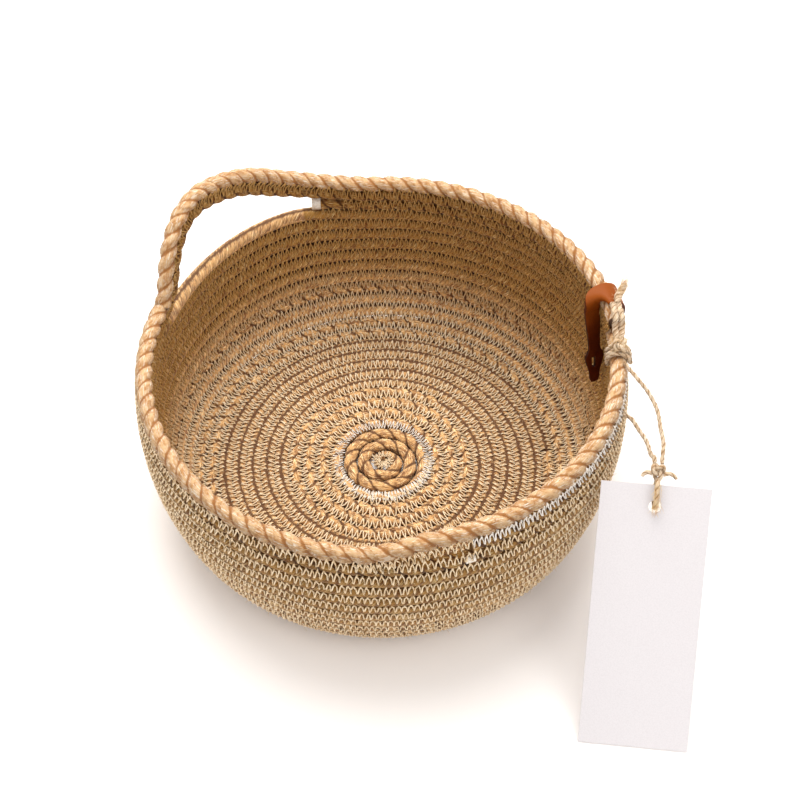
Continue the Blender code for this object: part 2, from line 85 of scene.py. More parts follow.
def add_node(tree, kind, values=(), links=(), **settings):
    """A shader node with its settings, its sockets' own values and its links."""
    node = tree.nodes.new("ShaderNode" + kind)
    for key, value in settings.items():
        setattr(node, key, value)
    for socket, value in dict(values).items():
        node.inputs[socket].default_value = value
    for socket, output in dict(links).items():
        tree.links.new(output, node.inputs[socket])
    return node


def laid_jute(name, groove, shade, fibre, pale, strands, girth, streak=0.35):
    """Laid jute yarn: dull, hairy bast fibre. It gives fine streaks along each strand, painted
    shade as a darker line where two strands meet, in the valleys between the rows and on the
    bowl's outer face, painted light low down and on rows with none above, and no gloss."""
    made = bpy.data.materials.new(name)
    made.use_nodes = True
    tree = made.node_tree
    shader = tree.nodes["Principled BSDF"]
    shader.inputs["Roughness"].default_value = 0.85
    shader.inputs["Specular IOR Level"].default_value = 0.2
    shader.inputs["Sheen Weight"].default_value = 0.12
    shader.inputs["Sheen Roughness"].default_value = 0.5
    uv = add_node(tree, "UVMap", uv_map="UVMap").outputs["UV"]

    def spread(value, low, high):
        """A value eased from 0 at low to 1 at high."""
        ends = {"From Min": low, "From Max": high}
        kind = "SMOOTHSTEP"
        return add_node(tree, "MapRange", ends, {"Value": value}, interpolation_type=kind)

    def noise(turn, width, length, detail):
        """Noise on the UV map, turned and drawn out to this width and length in mm."""
        place = {"Rotation": (0, 0, radians(turn)), "Scale": (width, length, 1)}
        at = add_node(tree, "Mapping", place, {"Vector": uv}, vector_type="TEXTURE")
        kind = {"Scale": 1.0, "Detail": detail, "Roughness": 0.6}
        return add_node(tree, "TexNoise", kind, {"Vector": at.outputs[0]}).outputs[0]

    def mixed(first, second, share):
        """Two colours mixed, each a hex value or a socket."""
        values = {k: linear(c) for k, c in ((6, first), (7, second)) if isinstance(c, str)}
        links = {k: c for k, c in ((6, first), (7, second)) if not isinstance(c, str)}
        links[0] = share.outputs[0]
        return add_node(tree, "Mix", values, links, data_type="RGBA").outputs[2]

    streaks = noise(STREAK_LEAN, streak, 7.0, 5.0)
    patches = noise(STREAK_LEAN, 1.6, 5.0, 3.0)
    across = add_node(tree, "SeparateXYZ", links={"Vector": uv}).outputs["X"]
    turn = add_node(
        tree, "Math", {1: strands * pi / girth}, {0: across}, operation="MULTIPLY"
    )
    wave = add_node(tree, "Math", links={0: turn.outputs[0]}, operation="COSINE")
    crown = add_node(tree, "Math", links={0: wave.outputs[0]}, operation="ABSOLUTE")
    # Painted shade: this crown mask, from the place round the rope, turns each strand to the
    # groove colour where two strands meet.
    rough = add_node(
        tree,
        "Math",
        {1: 0.9},
        {0: patches, 2: crown.outputs[0]},
        operation="MULTIPLY_ADD",
    )
    mottled = mixed(shade, fibre, spread(patches, 0.36, 0.6))
    body = mixed(mottled, pale, spread(streaks, 0.48, 0.7))
    strand = mixed(groove, body, spread(rough.outputs[0], 0.55, 1.0))
    spot = add_node(tree, "TexCoord").outputs["Object"]
    up = add_node(tree, "SeparateXYZ", links={"Vector": spot}).outputs["Z"]
    # Painted light: below 14 mm up, fading out by 48 mm, the jute is made lighter and paler like
    # the lit floor, and rows with no row above them (bare) get the same painted light.
    wear_and_painted_light = {"Saturation": 0.86, "Value": 1.7}
    light = add_node(tree, "HueSaturation", wear_and_painted_light, {"Color": strand}).outputs[0]
    strand = mixed(light, strand, spread(up, 14 * MM, 48 * MM))
    bare = add_node(tree, "Attribute", attribute_name="bare").outputs["Fac"]
    strand = mixed(strand, light, spread(bare, 0.0, 1.0))
    # Painted shade: the rope's outward face on the wall is darkened to 0.72 of its value, as the
    # shaded outer wall.
    outside = add_node(tree, "Attribute", attribute_name="outside").outputs["Fac"]
    dull = add_node(tree, "HueSaturation", {"Value": 0.72}, {"Color": strand}).outputs[0]
    strand = mixed(strand, dull, spread(outside, 0.0, 1.0))
    # Painted shade: where the next row lies close (clear near 0) the colour runs to dark brown
    # #4E2C10, in patches, as shade in the valleys.
    clear = add_node(tree, "Attribute", attribute_name="clear").outputs["Fac"]
    valley_shade = add_node(
        tree, "Math", {1: 0.9}, {0: patches, 2: clear}, operation="MULTIPLY_ADD"
    )
    colour = mixed("#4E2C10", strand, spread(valley_shade.outputs[0], 0.4, 1.15))
    tree.links.new(colour, shader.inputs["Base Color"])
    bump = add_node(tree, "Bump", {"Strength": 1.0, "Distance": 0.0009}, {"Height": streaks})
    tree.links.new(bump.outputs[0], shader.inputs["Normal"])
    return made


def swept_mesh(name, line):
    """The mesh of a bevelled curve."""
    swept = bpy.data.objects.new(name, line)
    bpy.context.scene.collection.objects.link(swept)
    bpy.context.view_layer.update()
    graph = bpy.context.evaluated_depsgraph_get()
    mesh = bpy.data.meshes.new_from_object(swept.evaluated_get(graph))
    bpy.data.objects.remove(swept)
    return mesh


def laid_rope(name, route, radius, strands, lay, finish, groove, taper=None, level=False):
    """Strands laid round each other along a route: a lobed section that turns as it goes.
    Its UV map is in millimetres, round the rope in x and along it in y."""
    ring = bpy.data.curves.new(name + "_section", "CURVE")
    ring.dimensions = "2D"
    outline = ring.splines.new("POLY")
    count = ROPE_SIDES if level else TWINE_SIDES
    outline.points.add(count - 1)
    outline.use_cyclic_u = True
    for i in range(count):
        a = 2 * pi * i / count
        r = radius * (1 - groove * (1 - abs(cos(strands * a / 2))))
        outline.points[i].co = (r * cos(a), r * sin(a), 0, 1)
    guide = bpy.data.objects.new(name + "_section", ring)
    bpy.context.scene.collection.objects.link(guide)

    line = bpy.data.curves.new(name, "CURVE")
    line.dimensions = "3D"
    line.twist_mode = "Z_UP" if level else "MINIMUM"
    line.bevel_mode = "OBJECT"
    line.bevel_object = guide
    line.use_fill_caps = True
    spline = line.splines.new("POLY")
    spline.points.add(len(route) - 1)
    gone = 0.0
    for i, point in enumerate(route):
        gone += (Vector(point) - Vector(route[max(i - 1, 0)])).length
        spline.points[i].co = (*point, 1)
        spline.points[i].tilt = 2 * pi * gone / lay
        spline.points[i].radius = taper[i] if taper else 1.0
    mesh = swept_mesh(name, line)
    bpy.data.objects.remove(guide)
    uv = np.empty(2 * len(mesh.loops))
    mesh.uv_layers["UVMap"].data.foreach_get("uv", uv)
    uv = uv.reshape(-1, 2)[:, ::-1] * (2 * pi * radius / MM, gone / MM)
    mesh.uv_layers["UVMap"].data.foreach_set("uv", uv.ravel())
    for kind in ("clear", "outside", "bare"):
        values = np.ones(len(mesh.vertices)) * (kind == "clear")
        mesh.attributes.new(kind, "FLOAT", "POINT").data.foreach_set("value", values)
    return place_mesh(name, mesh, finish)


def place_mesh(name, mesh, finish, smooth=True):
    """A mesh as an object of this name at the origin, in one finish."""
    mesh.name = name
    mesh.materials.clear()
    mesh.materials.append(finish)
    mesh.polygons.foreach_set("use_smooth", [smooth] * len(mesh.polygons))
    made = bpy.data.objects.new(name, mesh)
    bpy.context.scene.collection.objects.link(made)
    return made


def through(points, x):
    """The value at x of a smooth curve through (x, value) points, which rise in x."""
    xs = [p[0] for p in points]
    ys = [p[1] for p in points]
    slopes = np.gradient(ys, xs)
    i = min(max(int(np.searchsorted(xs, x)) - 1, 0), len(xs) - 2)
    span = xs[i + 1] - xs[i]
    t = min(max((x - xs[i]) / span, 0.0), 1.0)
    a = (1 + 2 * t) * (1 - t) ** 2 * ys[i] + t * (1 - t) ** 2 * span * slopes[i]
    return a + t * t * (3 - 2 * t) * ys[i + 1] - t * t * (1 - t) * span * slopes[i + 1]


def smooth_route(points, spacing):
    """Points at about this spacing on a smooth curve through the route's own points."""
    line = np.array(points)
    steps = np.linalg.norm(np.diff(line, axis=0), axis=1)
    at = np.concatenate([[0], np.cumsum(steps)])
    count = max(int(at[-1] / spacing), 2)
    return [
        Vector([through(list(zip(at, line[:, k])), u) for k in range(3)])
        for u in np.linspace(0, at[-1], count + 1)
    ]


TAG_YAW, TAG_TILT = radians(40.0), radians(45.0)
TAG_LENGTH = 0.0980
TAG_THICKNESS = 0.0006
TAG_FOOT_RADIUS = 0.1592
TAG_FOOT_ANGLE = radians(-8.25)
tag_across = Vector((cos(TAG_YAW), sin(TAG_YAW), 0))
tag_up = Vector(
    (-sin(TAG_YAW) * cos(TAG_TILT), cos(TAG_YAW) * cos(TAG_TILT), sin(TAG_TILT))
)
tag_front = tag_across.cross(tag_up)
tag_foot = Vector(
    (
        AXIS_X + TAG_FOOT_RADIUS * cos(TAG_FOOT_ANGLE),
        TAG_FOOT_RADIUS * sin(TAG_FOOT_ANGLE),
        PIECE_GAP,
    )
)
tag_knot = tag_foot + tag_up * (TAG_LENGTH + TAG_KNOT_RISE) + tag_front * TAG_THICKNESS / 2
leg_way = Vector((tag_up.x, tag_up.y, 0)).normalized() * cos(LEG_PULL)
leg_way.z = sin(LEG_PULL)

UPPER_LEG_ROUTE = (
    (0.0762, 0.0590, 0.0796),
    (0.0825, 0.0569, 0.0800),
    (0.0895, 0.0551, 0.0790),
    (0.0959, 0.0523, 0.0775),
    (0.1024, 0.0467, 0.0765),
    (0.1081, 0.0412, 0.0765),
)
LOWER_LEG_ROUTE = (
    (0.0858, 0.0458, 0.0712),
    (0.0882, 0.0466, 0.0710),
    (0.0951, 0.0441, 0.0715),
    (0.1006, 0.0416, 0.0720),
    (0.1070, 0.0368, 0.0730),
)
twine_jute = laid_jute(
    "twine_jute", "#AC865E", "#D6B28A", "#EDD5B4", "#FBEFDE", TWINE_PLIES, 6.3, 0.2
)
legs = []
for leg_name, leg_route, side in (
    ("twine_leg_upper", UPPER_LEG_ROUTE, LEG_OFFSET),
    ("twine_leg_lower", LOWER_LEG_ROUTE, -LEG_OFFSET),
):
    end = tag_knot + leg_way * TAG_KNOT_LENGTH / 2 + tag_across * side
    via = [*[Vector(p) for p in leg_route], end + leg_way * TWINE, end]
    via.insert(0, via[0] + (via[0] - via[1]).normalized() * TWINE)
    path = smooth_route(via, 0.9 * MM)
    leg = laid_rope(
        leg_name + "_twine", path, LEG_RADIUS, TWINE_PLIES, TWINE_LAY, twine_jute, 0.3
    )
    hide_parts(leg_name)
    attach(leg, "basket")
    legs.append((leg, path))

# The bowl's body rope.
# One natural jute rope of two strands, wound in a flat spiral for the floor, round a
# soft corner and up the wall, each row sewn to the last. It lies on its own flattened
# underside on the table.
ROPE = 0.0054
RIM_ROPE = 0.0062
ROW_PITCH = 0.0060
ROPE_GAP = 0.0005
FLOOR_TURNS = 11.9
CORNER_TURNS = 15.9
WALL_TURNS = 23.9
FLOOR_FLAT = 0.0694
CORNER_RADIUS = 0.0205
CORNER_TURN = radians(71.7)
WALL_CURL = 9.02
WALL_TOP = 0.1560
HANDLE_FLARE = 0.0060
FLARE_HEIGHT = 0.0620
FLARE_START, FLARE_PEAK, FLARE_END = 138.0, 162.0, 211.0
RIM_END_ANGLE = 51.0
ROPE_LAY = 0.0144
STRANDS = 2
BODY_RADIUS, BODY_GROOVE = 3.1 * MM, 0.2


def ease(x):
    """A smooth step from 0 to 1."""
    x = min(max(x, 0.0), 1.0)
    return x * x * (3 - 2 * x)


def section(s):
    """Radius, height and slope of the ropes' middle line, s along the bowl from its centre."""
    bend = CORNER_RADIUS * CORNER_TURN
    turned = min(max((s - FLOOR_FLAT) / CORNER_RADIUS, 0.0), CORNER_TURN)
    up = min(max(s - FLOOR_FLAT - bend, 0.0), WALL_TOP - FLOOR_FLAT - bend)
    above = max(s - WALL_TOP, 0.0)
    mean = CORNER_TURN + WALL_CURL * up / 2
    radius = min(s, FLOOR_FLAT) + CORNER_RADIUS * sin(turned) + up * cos(mean)
    height = 0.4 * ROPE + CORNER_RADIUS * (1 - cos(turned)) + up * sin(mean) + above
    return radius, height, pi / 2 if above else turned + WALL_CURL * up


def flare(angle, height):
    """How far the wall is pulled outwards beside the handle."""
    rise = ease((angle - FLARE_START) / (FLARE_PEAK - FLARE_START))
    fall = 1 - ease((angle - FLARE_PEAK) / (FLARE_END - FLARE_PEAK))
    return HANDLE_FLARE * rise * fall * min(height / FLARE_HEIGHT, 1.15) ** 2


def on_wall(angle, s, proud=0.0):
    """The point at this angle and this far along the bowl, proud of its outer side."""
    radius, height, slope = section(s)
    radius += flare(angle % 360, height) + proud * sin(slope)
    turn = radians(angle)
    x = AXIS_X + radius * cos(turn)
    return Vector((x, radius * sin(turn), height - proud * cos(slope)))


def angle_after(turns):
    """The angle of a rope that has gone this many turns clockwise from the rim's end."""
    return RIM_END_ANGLE - 360 * turns


def turns_to(angle):
    """Turns clockwise from the rim's end to this angle, from 0 to 1."""
    return (RIM_END_ANGLE - angle) / 360 % 1.0


def stepped_turns(start, end, distance_at, step):
    """Turns from start to end, this far apart along the rope."""
    found = [start]
    while found[-1] < end:
        radius = max(section(distance_at(found[-1]))[0], 0.002)
        found.append(found[-1] + step / (2 * pi * radius))
    return [*found[:-1], end]


def rest_on_table(made):
    """Presses whatever reaches below the table up to it."""
    for vert in made.data.vertices:
        vert.co.z = max(vert.co.z, 0.0)


body_jute = laid_jute(
    "body_jute", "#5A3612", "#7C4C1C", "#B6853F", "#EBCB90", STRANDS, 19.5
)
ropes = []
for node, start, end in (
    ("base_coil", 0.2, FLOOR_TURNS),
    ("corner_coil", FLOOR_TURNS, CORNER_TURNS),
    ("wall_coil", CORNER_TURNS, WALL_TURNS),
):
    stations = stepped_turns(start, end, lambda t: ROW_PITCH * t, 1.4 * MM)
    route = [on_wall(angle_after(t - WALL_TURNS), ROW_PITCH * t) for t in stations]
    rope = laid_rope(
        node.replace("coil", "rope"),
        route,
        BODY_RADIUS,
        STRANDS,
        ROPE_LAY,
        body_jute,
        BODY_GROOVE,
        taper=[min(1.0, 0.5 + i / 24) for i in range(len(route))] if start < 1 else None,
        level=True,
    )
    ropes.append((rope, route))
    rest_on_table(rope)
    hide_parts(node)
    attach(rope, "basket")

# The two top rows, the filler rope and the handle.
# The second row and the thicker, paler rim rope leave the wall together as the loop
# handle. The filler rope lies between two rows on the far side, from tape to tape.
FILLER_OUTER_ANGLE = -24.0
FILLER_INNER_ANGLE = 153.0
RIM_RAMP_LEAD, RIM_RAMP = 5.0, 20.0
RIM_RADIUS, RIM_GROOVE = 3.45 * MM, 0.27
TOP_STEP = 1.3 * MM
HANDLE_ROUTE = (
    (213.0, 0.0060),
    (209.0, 0.0066),
    (205.3, 0.0135),
    (201.5, 0.0245),
    (196.0, 0.0330),
    (189.5, 0.0356),
    (182.0, 0.0328),
    (172.0, 0.0262),
    (162.0, 0.0170),
    (154.0, 0.0130),
    (147.0, 0.0120),
)


def second_row(turns):
    """How far along the bowl the second row lies, over the handle too."""
    base = ROW_PITCH * (WALL_TURNS + turns)
    if turns < turns_to(HANDLE_ROUTE[0][0]):
        return base
    if turns > turns_to(HANDLE_ROUTE[-1][0]):
        return base + ROW_PITCH
    return base - ROW_PITCH + through(HANDLE_ROUTE[::-1], angle_after(turns) % 360)


def rim_seat(turns):
    """How far along the bowl the row that carries the rim lies."""
    over = turns - turns_to(FILLER_OUTER_ANGLE) - RIM_RAMP_LEAD / 360
    return second_row(turns) + ROW_PITCH * (1 - ease(over * 360 / RIM_RAMP))


def rim_line(turns, distance=(ROPE + RIM_ROPE) / 2 + ROPE_GAP):
    """(angle, s) of a strand laid beside the rim's seat, square to it."""
    small = 0.25 / 360
    girth = 2 * pi * section(WALL_TOP)[0]
    along = girth * 2 * small
    up = rim_seat(turns + small) - rim_seat(turns - small)
    length = sqrt(along * along + up * up)
    shift = -distance * up / length / girth
    return angle_after(turns + shift), rim_seat(turns) + distance * along / length


def even_steps(route, step):
    """A route's points moved to this distance from one another."""
    line = np.array(route)
    at = np.concatenate([[0], np.cumsum(np.linalg.norm(np.diff(line, axis=0), axis=1))])
    spots = np.linspace(0, at[-1], int(at[-1] / step) + 1)
    return [Vector([np.interp(u, at, line[:, k]) for k in range(3)]) for u in spots]


def top_rope(name, node, route, radius, finish, groove):
    """One of the ropes at the top, in place of its plain CAD solid."""
    rope = laid_rope(name, route, radius, STRANDS, ROPE_LAY, finish, groove, level=True)
    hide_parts(node)
    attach(rope, "basket")
    ropes.append((rope, route))
    return rope


rim_jute = laid_jute(
    "rim_jute", "#A8703C", "#C08A54", "#E4BC8C", "#FFF4E2", STRANDS, 21.0, 0.3
)
turns = np.linspace(0, 1, 900)
second = even_steps([on_wall(angle_after(t), second_row(t)) for t in turns], TOP_STEP)
row = top_rope("second_row", "second_row_rope", second, BODY_RADIUS, body_jute, BODY_GROOVE)
rim_route = even_steps([on_wall(*rim_line(t)) for t in turns], TOP_STEP)
rim = top_rope("rim", "rim_rope", rim_route, RIM_RADIUS, rim_jute, RIM_GROOVE)
filler_start = turns_to(FILLER_INNER_ANGLE) - 1
filler_end = turns_to(FILLER_OUTER_ANGLE)
filler = even_steps(
    [
        on_wall(angle_after(t), ROW_PITCH * (WALL_TURNS + 1 + t))
        for t in np.linspace(filler_start, filler_end, 400)
    ],
    TOP_STEP,
)
row = top_rope("filler", "filler_rope", filler, BODY_RADIUS, body_jute, BODY_GROOVE)


def shade_valleys(ropes):
    """Gives every rope the attribute clear, which falls to 0 where the next row touches it,
    outside, which is 1 on the bowl's outer face, and bare, where no row lies on a row. The
    jute's colour paints shade by the first two and light by the third."""
    middles = [(k, i, p) for k, (_, route) in enumerate(ropes) for i, p in enumerate(route)]
    tree = KDTree(len(middles))
    for n, (_, _, p) in enumerate(middles):
        tree.insert(p, n)
    tree.balance()
    for k, (rope, route) in enumerate(ropes):
        spots = np.empty(3 * len(rope.data.vertices))
        rope.data.vertices.foreach_get("co", spots)
        spots = spots.reshape(-1, 3)
        clear = np.ones(len(spots))
        bare = np.zeros(len(spots))
        for i, p in enumerate(route):
            near = [
                middles[n][2]
                for _, n, _ in tree.find_range(p, 7.5 * MM)
                if middles[n][0] != k or abs(middles[n][1] - i) > 12
            ]
            if near:
                ring = spots[ROPE_SIDES * i : ROPE_SIDES * (i + 1)]
                away = np.linalg.norm(ring[:, None] - np.array(near)[None], axis=2)
                least = away.min(axis=1) / MM
                clear[ROPE_SIDES * i : ROPE_SIDES * (i + 1)] = (least - 3.0) / 1.5
            if p.z > 40 * MM and not any(q.z > p.z + 4 * MM for q in near):
                bare[ROPE_SIDES * i : ROPE_SIDES * (i + 1)] = 1
        rope.data.attributes["clear"].data.foreach_set("value", clear.clip(0, 1))
        if rope.name in ("wall_rope", "filler"):
            rope.data.attributes["bare"].data.foreach_set("value", bare)
        middle = np.repeat(np.array(route), ROPE_SIDES, axis=0)
        off = spots[: len(middle)] - middle
        around = middle[:, :2] - (AXIS_X, 0)
        around /= np.linalg.norm(around, axis=1)[:, None] + 1e-9
        outside = (off[:, :2] * around).sum(axis=1) / (3 * MM)
        whole = np.zeros(len(spots))
        whole[: len(middle)] = np.where(middle[:, 2] > 6 * MM, outside, 0)
        rope.data.attributes["outside"].data.foreach_set("value", whole.clip(0, 1))


shade_valleys(ropes)

# Taped ends.
# White cloth tape is wound once round each cut end of the filler rope, so that it
# doesn't fray. It is matt, slightly creased and greyed by handling.


def pale_fibre(name, colour, shade, grain, high=None):
    """Cotton thread, cloth tape, card or jute hair: matt and pale, a little darker between
    its fibres. With a third colour, a painted shade, it turns to that one from 12 to 35 mm up the
    wall."""
    made = bpy.data.materials.new(name)
    made.use_nodes = True
    tree = made.node_tree
    shader = tree.nodes["Principled BSDF"]
    shader.inputs["Roughness"].default_value = 0.75
    shader.inputs["Specular IOR Level"].default_value = 0.3
    spot = add_node(tree, "TexCoord").outputs["Object"]
    grains = add_node(
        tree, "TexNoise", {"Scale": 1 / grain, "Detail": 3.0}, {"Vector": spot}
    )
    tone = add_node(
        tree,
        "MapRange",
        {"From Min": 0.35, "From Max": 0.6},
        {"Value": grains.outputs[0]},
    ).outputs[0]
    mixed = add_node(
        tree,
        "Mix",
        {6: linear(shade), 7: linear(colour)},
        {0: tone},
        data_type="RGBA",
    ).outputs[2]
    if high:
        up = add_node(tree, "SeparateXYZ", links={"Vector": spot}).outputs["Z"]
        ends = {"From Min": 12 * MM, "From Max": 35 * MM}
        share = add_node(tree, "MapRange", ends, {"Value": up}).outputs[0]
        mixed = add_node(
            tree, "Mix", {7: linear(high)}, {0: share, 6: mixed}, data_type="RGBA"
        ).outputs[2]
    tree.links.new(mixed, shader.inputs["Base Color"])
    return made


cloth_tape = pale_fibre("cloth_tape", "#EDE6DC", "#CFC3B2", 0.8 * MM)
TAPE_EDGES, TAPE_LAY, TAPE_CREASE = 2, 60 * MM, 0.08
for node, line, radius, length, drop in (
    ("inner_end_tape", filler[:2][::-1], 3.15 * MM, 3.4 * MM, 0.0),
    ("outer_end_tape", filler[-2:], 1.7 * MM, 3.2 * MM, 0.0052),
):
    way = (line[1] - line[0]).normalized()
    around = (line[1] - Vector((AXIS_X, 0, line[1].z))).normalized()
    first = line[1] + around * drop * 0.45 - Vector((0, 0, drop))
    route = [first + way * u * length for u in (-0.25, 0.0, 0.25, 0.5, 0.75, 0.9)]
    name = node.replace("end_tape", "tape")
    tape = laid_rope(name, route, radius, TAPE_EDGES, TAPE_LAY, cloth_tape, TAPE_CREASE)
    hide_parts(node)
    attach(tape, "basket")

# Seam stitches.
# A machine sews each row to the last with a zigzag of cream cotton, 2.2 mm long and about
# 5 mm wide, on both faces. The thread dips into the valley and dives into both crowns.
STITCH = 0.0022
STITCH_REACH = 0.0027
THREAD = 0.00062
sewing = np.random.RandomState(7)


def zigzag(
    name, place, start, end, distance_at, finish, side, stitch=STITCH, thread=THREAD
):
    """A zigzag thread from start to end, where place(turn, across, proud) gives a point."""
    line = bpy.data.curves.new(name, "CURVE")
    line.dimensions = "3D"
    line.twist_mode = "Z_UP"
    line.bevel_depth = thread / 2
    line.bevel_resolution = 0
    line.use_fill_caps = True
    spots = stepped_turns(start, end, distance_at, stitch / 2)
    route = []
    for i, t in enumerate(spots[:-1]):
        sign = 1 if i % 2 else -1
        reach = STITCH_REACH * sewing.uniform(0.7, 1.15) * (0.86 if side > 0 else 1)
        after = spots[i + 1]
        slip = sewing.uniform(-0.28, 0.28)
        for share, across, proud in (
            (0.0, 1.0, 2.4),
            (0.14, 0.8, 3.15),
            (0.5, 0.0, 2.35),
            (0.86, -0.8, 3.15),
        ):
            u = t + (after - t) * (share + slip)
            route.append(place(u, sign * reach * across, side * proud * MM))
    spline = line.splines.new("POLY")
    spline.points.add(len(route) - 1)
    spline.points.foreach_set("co", np.array([[*p, 1] for p in route]).ravel())
    return place_mesh(name, swept_mesh(name, line), finish)


def body_seam(t, across, proud):
    """A point of the seam above the body rope's row at t turns."""
    s = ROW_PITCH * (t + 0.5) + across
    spot = on_wall(angle_after(t - WALL_TURNS), s, proud)
    spot.z = max(spot.z, THREAD / 2)
    return spot


def rim_seam(t, across, proud):
    """A point of the seam between the rim and its seat."""
    return on_wall(*rim_line(t, (ROPE + ROPE_GAP) / 2 + across), proud)


cream_cotton = pale_fibre("cream_cotton", "#F2DEBE", "#D2B48A", 1.5 * MM)
# Painted shade: the inner stitches turn to a darker tan from 12 to 35 mm up, as on the shaded
# inner wall.
inner_cotton = pale_fibre("inner_cotton", "#F4E2C4", "#DCBC8E", 1.5 * MM, "#BE9458")
handle_gap = WALL_TURNS - 1 + turns_to(HANDLE_ROUTE[0][0])
handle_foot = WALL_TURNS - 1 + turns_to(FILLER_INNER_ANGLE)
filler_top = WALL_TURNS + turns_to(HANDLE_ROUTE[-1][0])
filler_tail = WALL_TURNS + filler_end
seams = (
    ("floor", body_seam, 2.9, FLOOR_TURNS),
    ("corner", body_seam, FLOOR_TURNS, CORNER_TURNS),
    ("wall", body_seam, CORNER_TURNS, handle_gap),
    ("top_row", body_seam, handle_foot, filler_tail + (RIM_RAMP + RIM_RAMP_LEAD) / 360),
    ("filler", body_seam, filler_top, WALL_TURNS + 1),
    ("rim", rim_seam, filler_end, 1.0),
)
for seam_name, place, start, end in seams:
    for face, side in (("inner", -1), ("outer", 1)):
        reach = (lambda t: WALL_TOP) if place is rim_seam else (lambda t: ROW_PITCH * t)
        stitches = zigzag(
            f"{seam_name}_stitches_{face}",
            place,
            start,
            end,
            reach,
            inner_cotton if side < 0 else cream_cotton,
            side,
        )
        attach(stitches, "basket")
        if (seam_name, face) == ("rim", "inner"):
            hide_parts("handle_seam_thread")

# White finishing seams.
# Where the filler rope ends, the rim is sewn down with a dense white zigzag on the
# outside, and a ring of white satin stitches covers the floor's seam round the eye.
RING_RADIUS = 0.0196
EYE_RADIUS, EYE_GROWTH = 0.0022, 0.0011
white_cotton = pale_fibre("white_cotton", "#F6F1EA", "#D8CCBC", 1.5 * MM)
for face, side in (("inner", -1), ("outer", 1)):
    stitches = zigzag(
        f"finish_stitches_{face}",
        body_seam,
        WALL_TURNS + 1,
        WALL_TURNS + 1 + filler_end,
        lambda t: WALL_TOP,
        white_cotton if side > 0 else cream_cotton,
        side,
        1.9 * MM if side > 0 else STITCH,
    )
    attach(stitches, "basket")
    if side > 0:
        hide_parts("white_seam_thread")


def ring_seam(t, across, proud):
    """A point of the satin ring, at its own radius on the floor."""
    s = RING_RADIUS + 0.9 * across * sewing.uniform(0.65, 1.25)
    spot = on_wall(angle_after(t), s)
    spot.z += abs(proud) * sewing.uniform(0.97, 1.03)
    return spot


ring = zigzag(
    "ring_stitches",
    ring_seam,
    0.0,
    1.45,
    lambda t: RING_RADIUS,
    white_cotton,
    -1,
    1.5 * MM,
    0.38 * MM,
)
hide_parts("centre_ring_stitching")
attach(ring, "basket")


def eye_seam(t, across, proud):
    """A point of the untidy first stitches, close to the middle."""
    spot = on_wall(angle_after(t), EYE_RADIUS + EYE_GROWTH * t + 0.6 * across)
    spot.z += abs(proud) * sewing.uniform(0.96, 1.04)
    return spot


eye = zigzag(
    "eye_stitches",
    eye_seam,
    0.0,
    1.6,
    lambda t: 0.003 + EYE_GROWTH * t,
    cream_cotton,
    -1,
    1.7 * MM,
    0.42 * MM,
)
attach(eye, "basket")

# The card tag.
# A blank swing tag of thick off-white card, 40 by 98 mm, with a punched hole near its
# top edge. It stands on its lower edge on the table and leans towards the wall.
tag_card = pale_fibre("tag_card", "#D6D3D6", "#D1CED1", 0.5 * MM)
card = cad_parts["hang_tag"]
card.data.materials.clear()
card.data.materials.append(tag_card)

# Leather tab.
# A strap of waxed chestnut leather, 1.6 mm thick, folded over the rim, and its tongue with
# a slit in its head, hanging inside. Each is a grid that Solidify makes thick.
TAB_ANGLE = 58.0
LEATHER = 0.0016
TONGUE_LENGTH = 0.0360
TONGUE_TWIST, TONGUE_LEAN = radians(-15.5), radians(15.0)
TONGUE_LIFT = 0.0028
TONGUE_SLIT = (0.0, 0.63, 0.38, 0.79)
RIM_WRAPPED = 4.25
EDGE_WEAR = 0.00035


def waxed_leather(name, dark, light, gloss):
    """Smooth leather: cloudy brown, lighter high up and darker further down as painted light,
    a fine grain and a soft gloss.
    """
    made = bpy.data.materials.new(name)
    made.use_nodes = True
    tree = made.node_tree
    shader = tree.nodes["Principled BSDF"]
    shader.inputs["Roughness"].default_value = gloss
    shader.inputs["Specular IOR Level"].default_value = 0.12
    spot = add_node(tree, "TexCoord").outputs["Object"]
    clouds = add_node(
        tree, "TexNoise", {"Scale": 1 / (5 * MM), "Detail": 3.0}, {"Vector": spot}
    )
    # Painted light: from 68 to 88 mm up the colour runs to the light brown, so the lobe on the
    # rim looks lit and the strap lower inside darker.
    up = add_node(tree, "SeparateXYZ", links={"Vector": spot}).outputs["Z"]
    ends = {"From Min": 68 * MM, "From Max": 88 * MM}
    high = add_node(tree, "MapRange", ends, {"Value": up}).outputs[0]
    tone = add_node(
        tree,
        "Math",
        {1: 0.5, 2: -0.2},
        {0: clouds.outputs[0]},
        operation="MULTIPLY_ADD",
    )
    tone = add_node(
        tree,
        "Math",
        links={0: high, 1: tone.outputs[0]},
        operation="ADD",
        use_clamp=True,
    )
    colour = add_node(
        tree,
        "Mix",
        {6: linear(dark), 7: linear(light)},
        {0: tone.outputs[0]},
        data_type="RGBA",
    ).outputs[2]
    tree.links.new(colour, shader.inputs["Base Color"])
    grain = add_node(tree, "TexVoronoi", {"Scale": 1 / (0.7 * MM)}, {"Vector": spot})
    bump = add_node(
        tree, "Bump", {"Strength": 0.2, "Distance": 0.0002}, {"Height": grain.outputs[0]}
    )
    tree.links.new(bump.outputs[0], shader.inputs["Normal"])
    return made


